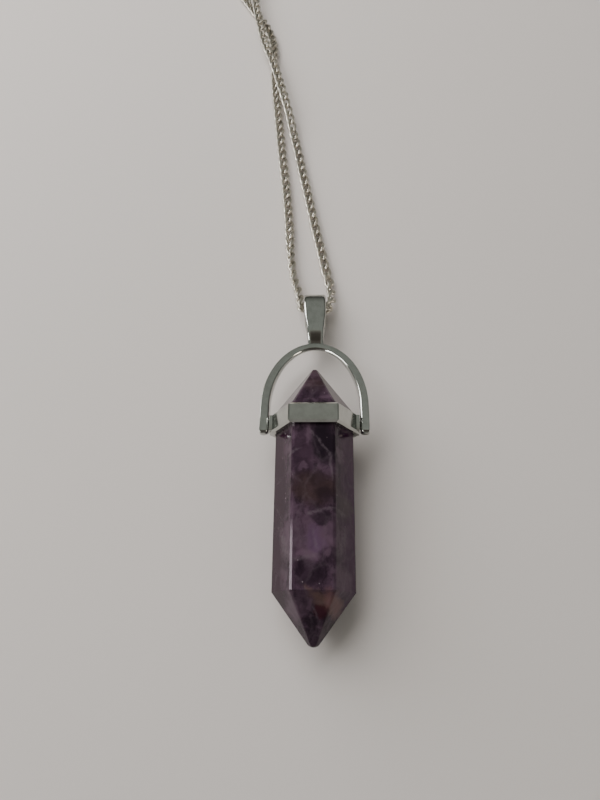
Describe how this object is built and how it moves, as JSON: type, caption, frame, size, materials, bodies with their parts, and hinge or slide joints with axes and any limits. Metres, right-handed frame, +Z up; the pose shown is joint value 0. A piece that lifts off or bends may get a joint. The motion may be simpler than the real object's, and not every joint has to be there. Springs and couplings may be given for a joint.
{
  "type": "crystal point pendant",
  "caption": "Six-sided crystal point held in a hinged metal collar and bow, with a folded bail on a fine curb chain necklace.",
  "frame": {"origin": "on the surface that the necklace lies on, under the middle of its whole footprint", "axes": "+X across the pendant, +Y along the pendant from the stone's lower point towards the clasp, +Z up from the surface and out of the pendant's front"},
  "size_m": [0.06, 0.2488, 0.0099],
  "materials": {
    "crystal": "polished",
    "pendant_metal": "polished",
    "chain_metal": "polished"
  },
  "bodies": {
    "hanger_and_chain": {"hanger": "pendant_metal", "chain": "chain_metal", "clasp": "chain_metal", "clasp_ring": "chain_metal", "end_ring": "chain_metal"},
    "stone_and_collar": {"crystal_point": "crystal", "collar": "pendant_metal"}
  },
  "joints": [
    {"name": "collar_pivot", "type": "hinge", "parent": "hanger_and_chain", "child": "stone_and_collar", "pos_m": [0.01525, -0.09948, 0.00494], "axis": [1, 0, 0], "range_deg": [-162, 144]}
  ]
}
